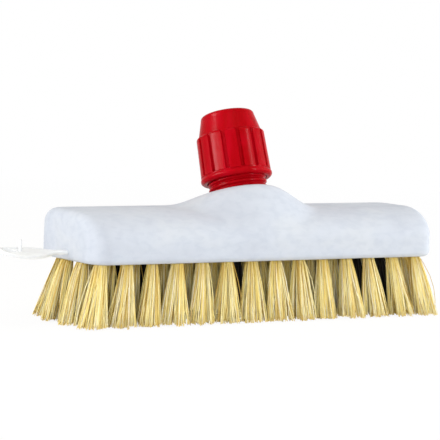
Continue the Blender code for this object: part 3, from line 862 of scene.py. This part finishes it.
# %% The leaf of the hang tab
tab_roll = math.radians(14)
tab_place = block_place @ Matrix.Translation((-half_length, -2 * mm, 4.6 * mm))
tab_place = tab_place @ Matrix.Rotation(tab_roll, 4, "X")
tab_reach, tab_half_width, tab_half_thick, tab_bevel = 42 * mm, 7 * mm, 1 * mm, 0.5 * mm
stem_half_width, stem_length, stem_root = 1.6 * mm, 5 * mm, -3 * mm
shoulder_reach, belly_reach = 22 * mm, 26 * mm
eye_middle, eye_long, eye_wide = 35.5 * mm, 4.5 * mm, 2.9 * mm
bend_start, tip_rise = 24 * mm, 2 * mm
side_steps, eye_steps = 60, 40


def leaf_half_width(reach):
    """Half the tab's width at a distance from the block's end: a stem, a belly and a round tip."""
    if reach < belly_reach:
        share = min(1.0, max(0.0, (reach - stem_length) / (shoulder_reach - stem_length)))
        swell = 0.5 * (1 - math.cos(math.pi * share))
        return stem_half_width + (tab_half_width - stem_half_width) * swell
    past = (reach - belly_reach) / (tab_reach - belly_reach)
    return tab_half_width * math.sqrt(1 - past * past)


tab_side = [(stem_root, stem_half_width)]
for step in range(1, side_steps):
    reach = tab_reach * step / side_steps
    tab_side.append((reach, leaf_half_width(reach)))
other_side = [(reach, -across) for reach, across in reversed(tab_side)]
tab_loop = tab_side + [(tab_reach, 0.0)] + other_side
eye_loop = []
for step in range(eye_steps):
    turn = 2 * math.pi * step / eye_steps
    eye_loop.append((eye_middle + eye_long * math.cos(turn), eye_wide * math.sin(turn)))
leaf = bpy.data.curves.new("hang_leaf", "CURVE")
leaf.dimensions = "2D"
leaf.fill_mode = "BOTH"
leaf.extrude = tab_half_thick - tab_bevel
leaf.bevel_depth = tab_bevel
leaf.bevel_resolution = 3
leaf.offset = -tab_bevel
for loop in (tab_loop, eye_loop):
    spline = leaf.splines.new("POLY")
    spline.points.add(len(loop) - 1)
    spline.use_cyclic_u = True
    for point, (reach, across) in zip(spline.points, loop):
        point.co = (-reach, across, 0, 1)
leaf_object = place_object("hang_leaf", leaf)
leaf_mesh = evaluated_mesh(leaf_object)
bpy.data.objects.remove(leaf_object, do_unlink=True)
print("leaf faces", len(leaf_mesh.polygons))

# %% [markdown]
# The peg stands upright although the tab is rolled, so its rings are turned back by the same angle.
# It is added to the leaf's mesh before that is placed, because the two are one moulding.

# %% The hang tab with its peg
weld_distance = 0.001 * mm
peg_radius, peg_top, peg_reach, peg_sides = 0.9 * mm, 7.5 * mm, 28.6 * mm, 20
peg_rings = [
    (peg_radius, 0.0), (peg_radius, peg_top - 0.7 * mm),
    (peg_radius * 0.8, peg_top - 0.2 * mm), (peg_radius * 0.4, peg_top)]
peg_place = Matrix.Translation((-peg_reach, 0, 0)) @ Matrix.Rotation(-tab_roll, 4, "X")
shape = bmesh.new()
shape.from_mesh(leaf_mesh)
for vert in shape.verts:
    past = max(0.0, (-vert.co.x - bend_start) / (tab_reach - bend_start))
    vert.co.z += tip_rise * past * past
rings = []
for radius, height in peg_rings:
    ring = []
    for step in range(peg_sides):
        turn = 2 * math.pi * step / peg_sides
        ring.append(shape.verts.new(
            peg_place @ Vector((radius * math.cos(turn), radius * math.sin(turn), height))))
    rings.append(ring)
join_rings(shape, rings)
cap_rings(shape, rings)
bmesh.ops.remove_doubles(shape, verts=shape.verts, dist=weld_distance)
bmesh.ops.recalc_face_normals(shape, faces=shape.faces)
tab_mesh = mesh_from(shape, "milky_tab")
soften(tab_mesh, 40)
tab_mesh.materials.append(milky_finish)
milky_tab = place_object("milky_tab", tab_mesh, tab_place)
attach(milky_tab, "root")
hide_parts("hang_tab")
print("tab faces", len(tab_mesh.polygons))

# %% [markdown]
# A tuft is a bundle of fibres folded into its hole. The bundle leaves the hole tight and round,
# then fans out to meet its neighbours, and it was trimmed level after it was set. A few strands
# always stray. In use the strands cling together in locks, so a lock gets its place first and its
# strands keep close to it. Hair particles could make this, but a plain mesh of tapered strands
# exports and renders the same anywhere. Each strand is a four-sided tube along a curve from the
# hole to its own tip. The order in which its edges are made decides its random shade, so a strand
# skins its own rings.

# %% Helpers for one tuft
locks_per_tuft, strands_per_lock, strand_rings, strand_sides = 40, 7, 6, 4
strand_radius, strand_top, strand_taper = 0.26 * mm, 3 * mm, 0.3
root_reach, root_wander, lock_spread = 2.55 * mm, 0.25 * mm, 0.6 * mm
row_half_length, front_row_y = 104.5 * mm, 22.6 * mm
lean_along, lean_across = 6.6 * mm, 5 * mm
fan_along, fan_across, fan_limit = 7.3 * mm, 6.6 * mm, 1.03
along_power, across_power, end_splay = 1.2, 1.6, 0.24
rim_crowding, angle_scatter, opening_scatter = 0.4, 0.25, 0.12
wide_share, narrowest_wide, widest_wide = 0.05, 1.0, 1.2
stray_share, stray_factor, wander_across = 0.025, 4.0, 0.7
lock_trim, strand_trim, strand_bow = 0.9 * mm, 0.5 * mm, 0.4 * mm
level_share, short_trim = 0.9, 3.5 * mm
thinnest, thickest = 0.75, 1.2


def row_place(root):
    """A tuft's place as shares of the way from the block's middle to its end and its front row."""
    return (root.x - underside.x) / row_half_length, (root.y - underside.y) / front_row_y


def lean_of(root):
    """How far a tuft's tips stand out from its hole: more towards the ends and the sides."""
    x, y = row_place(root)
    along = math.copysign(lean_along * abs(x) ** along_power, x)
    across = math.copysign(lean_across * abs(y) ** across_power, y)
    return along, across


def splay_of(root):
    """The power by which a tuft opens out below its hole: lower for the worn inner end tufts."""
    x, y = row_place(root)
    worn = x ** 4 * (abs(y) < 0.5)
    return 1.0 - end_splay * worn


def lock_ends(lean, chance):
    """Where one lock leaves its hole and where it ends, from the tuft's root, and its trim."""
    angle = chance.uniform(0, 2 * math.pi)
    share = chance.random() ** rim_crowding
    start = Vector((math.cos(angle), math.sin(angle), 0)) * root_reach * share
    angle += chance.gauss(0, angle_scatter)
    opened = min(fan_limit, max(0.0, share + chance.gauss(0, opening_scatter)))
    if chance.random() < wide_share:
        opened = chance.uniform(narrowest_wide, widest_wide)
    tip = Vector((
        lean[0] + fan_along * opened * math.cos(angle),
        lean[1] + fan_across * opened * math.sin(angle), 0))
    return start, tip, abs(chance.gauss(0, lock_trim))


def strand_points(root, ends, splay, chance):
    """The curve of one strand of a lock, from inside its hole to its tip."""
    start, tip, trim = ends
    start = start + Vector((chance.gauss(0, root_wander), chance.gauss(0, root_wander), 0))
    if start.length > root_reach:
        start = start.normalized() * root_reach
    stray = stray_factor if chance.random() < stray_share else 1.0
    wander = lock_spread * stray
    tip = tip + Vector((chance.gauss(0, wander), chance.gauss(0, wander * wander_across), 0))
    if chance.random() < level_share:
        trim += abs(chance.gauss(0, strand_trim))
    else:
        trim += chance.uniform(0, short_trim)
    bend = strand_bow * stray
    bow = Vector((chance.gauss(0, bend), chance.gauss(0, bend), 0))
    top = underside.z + strand_top
    points = []
    for step in range(strand_rings):
        down = step / (strand_rings - 1)
        fan = down ** splay
        level = root + start * (1 - fan) + tip * fan + bow * math.sin(math.pi * down)
        points.append(Vector((level.x, level.y, top - (top - trim) * down)))
    return points


def add_strand(shape, points, chance):
    """A four-sided tube along the points, thinner at its tip, closed at both ends."""
    radius = strand_radius * chance.uniform(thinnest, thickest)
    twist = chance.uniform(0, math.pi)
    rings = []
    for step, point in enumerate(points):
        size = radius * (1 - strand_taper * step / (len(points) - 1))
        ring = []
        for side in range(strand_sides):
            turn = twist + side * math.pi / 2
            ring.append(shape.verts.new((
                point.x + size * math.cos(turn), point.y + size * math.sin(turn), point.z)))
        rings.append(ring)
    for ring, following in zip(rings, rings[1:]):
        for side in range(strand_sides):
            after = (side + 1) % strand_sides
            shape.faces.new((ring[side], following[side], following[after], ring[after]))
    cap_rings(shape, rings)


# %% [markdown]
# The frame gives each tuft's place and says which ones are dark, so one loop dresses them all.
# Every tuft has its own seeded stream of random draws, so the brush is the same each run.

# %% Set all the tufts
first_seed = 1000
lean_scatter_along, lean_scatter_across, splay_scatter = 0.5 * mm, 0.4 * mm, 0.04
slot_of = {entry["node"]: entry["material_slot"] for entry in frame["record"]["subparts"]}
for number, name in enumerate(tuft_names):
    chance = random.Random(first_seed + number)
    root = roots[name]
    along, across = lean_of(root)
    lean = (
        along + chance.gauss(0, lean_scatter_along), across + chance.gauss(0, lean_scatter_across))
    splay = splay_of(root) + chance.gauss(0, splay_scatter)
    shape = bmesh.new()
    for _ in range(locks_per_tuft):
        ends = lock_ends(lean, chance)
        for _ in range(strands_per_lock):
            add_strand(shape, strand_points(root, ends, splay, chance), chance)
    bmesh.ops.recalc_face_normals(shape, faces=shape.faces)
    mesh = mesh_from(shape, "bristles_" + name)
    mesh.shade_smooth()
    mesh.materials.append(dark_finish if slot_of[name] == "dark_bristle" else natural_finish)
    bristles = place_object("bristles_" + name, mesh)
    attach(bristles, "root")
    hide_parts(name)
print("tufts", len(tuft_names), "strands", len(tuft_names) * locks_per_tuft * strands_per_lock)

# %% [markdown]
# The lamps that only draw highlights would also flare on the block's top, where it is seen from
# the side at a grazing angle. Light linking gives a lamp a list of the pieces that it lights, and
# these lamps get the red ones.

# %% Keep the highlights on the red pieces
red_pieces = bpy.data.collections.new("red_pieces")
for thing in (red_socket, red_nut):
    red_pieces.objects.link(thing)
for gleam in gleams:
    gleam.light_linking.receiver_collection = red_pieces
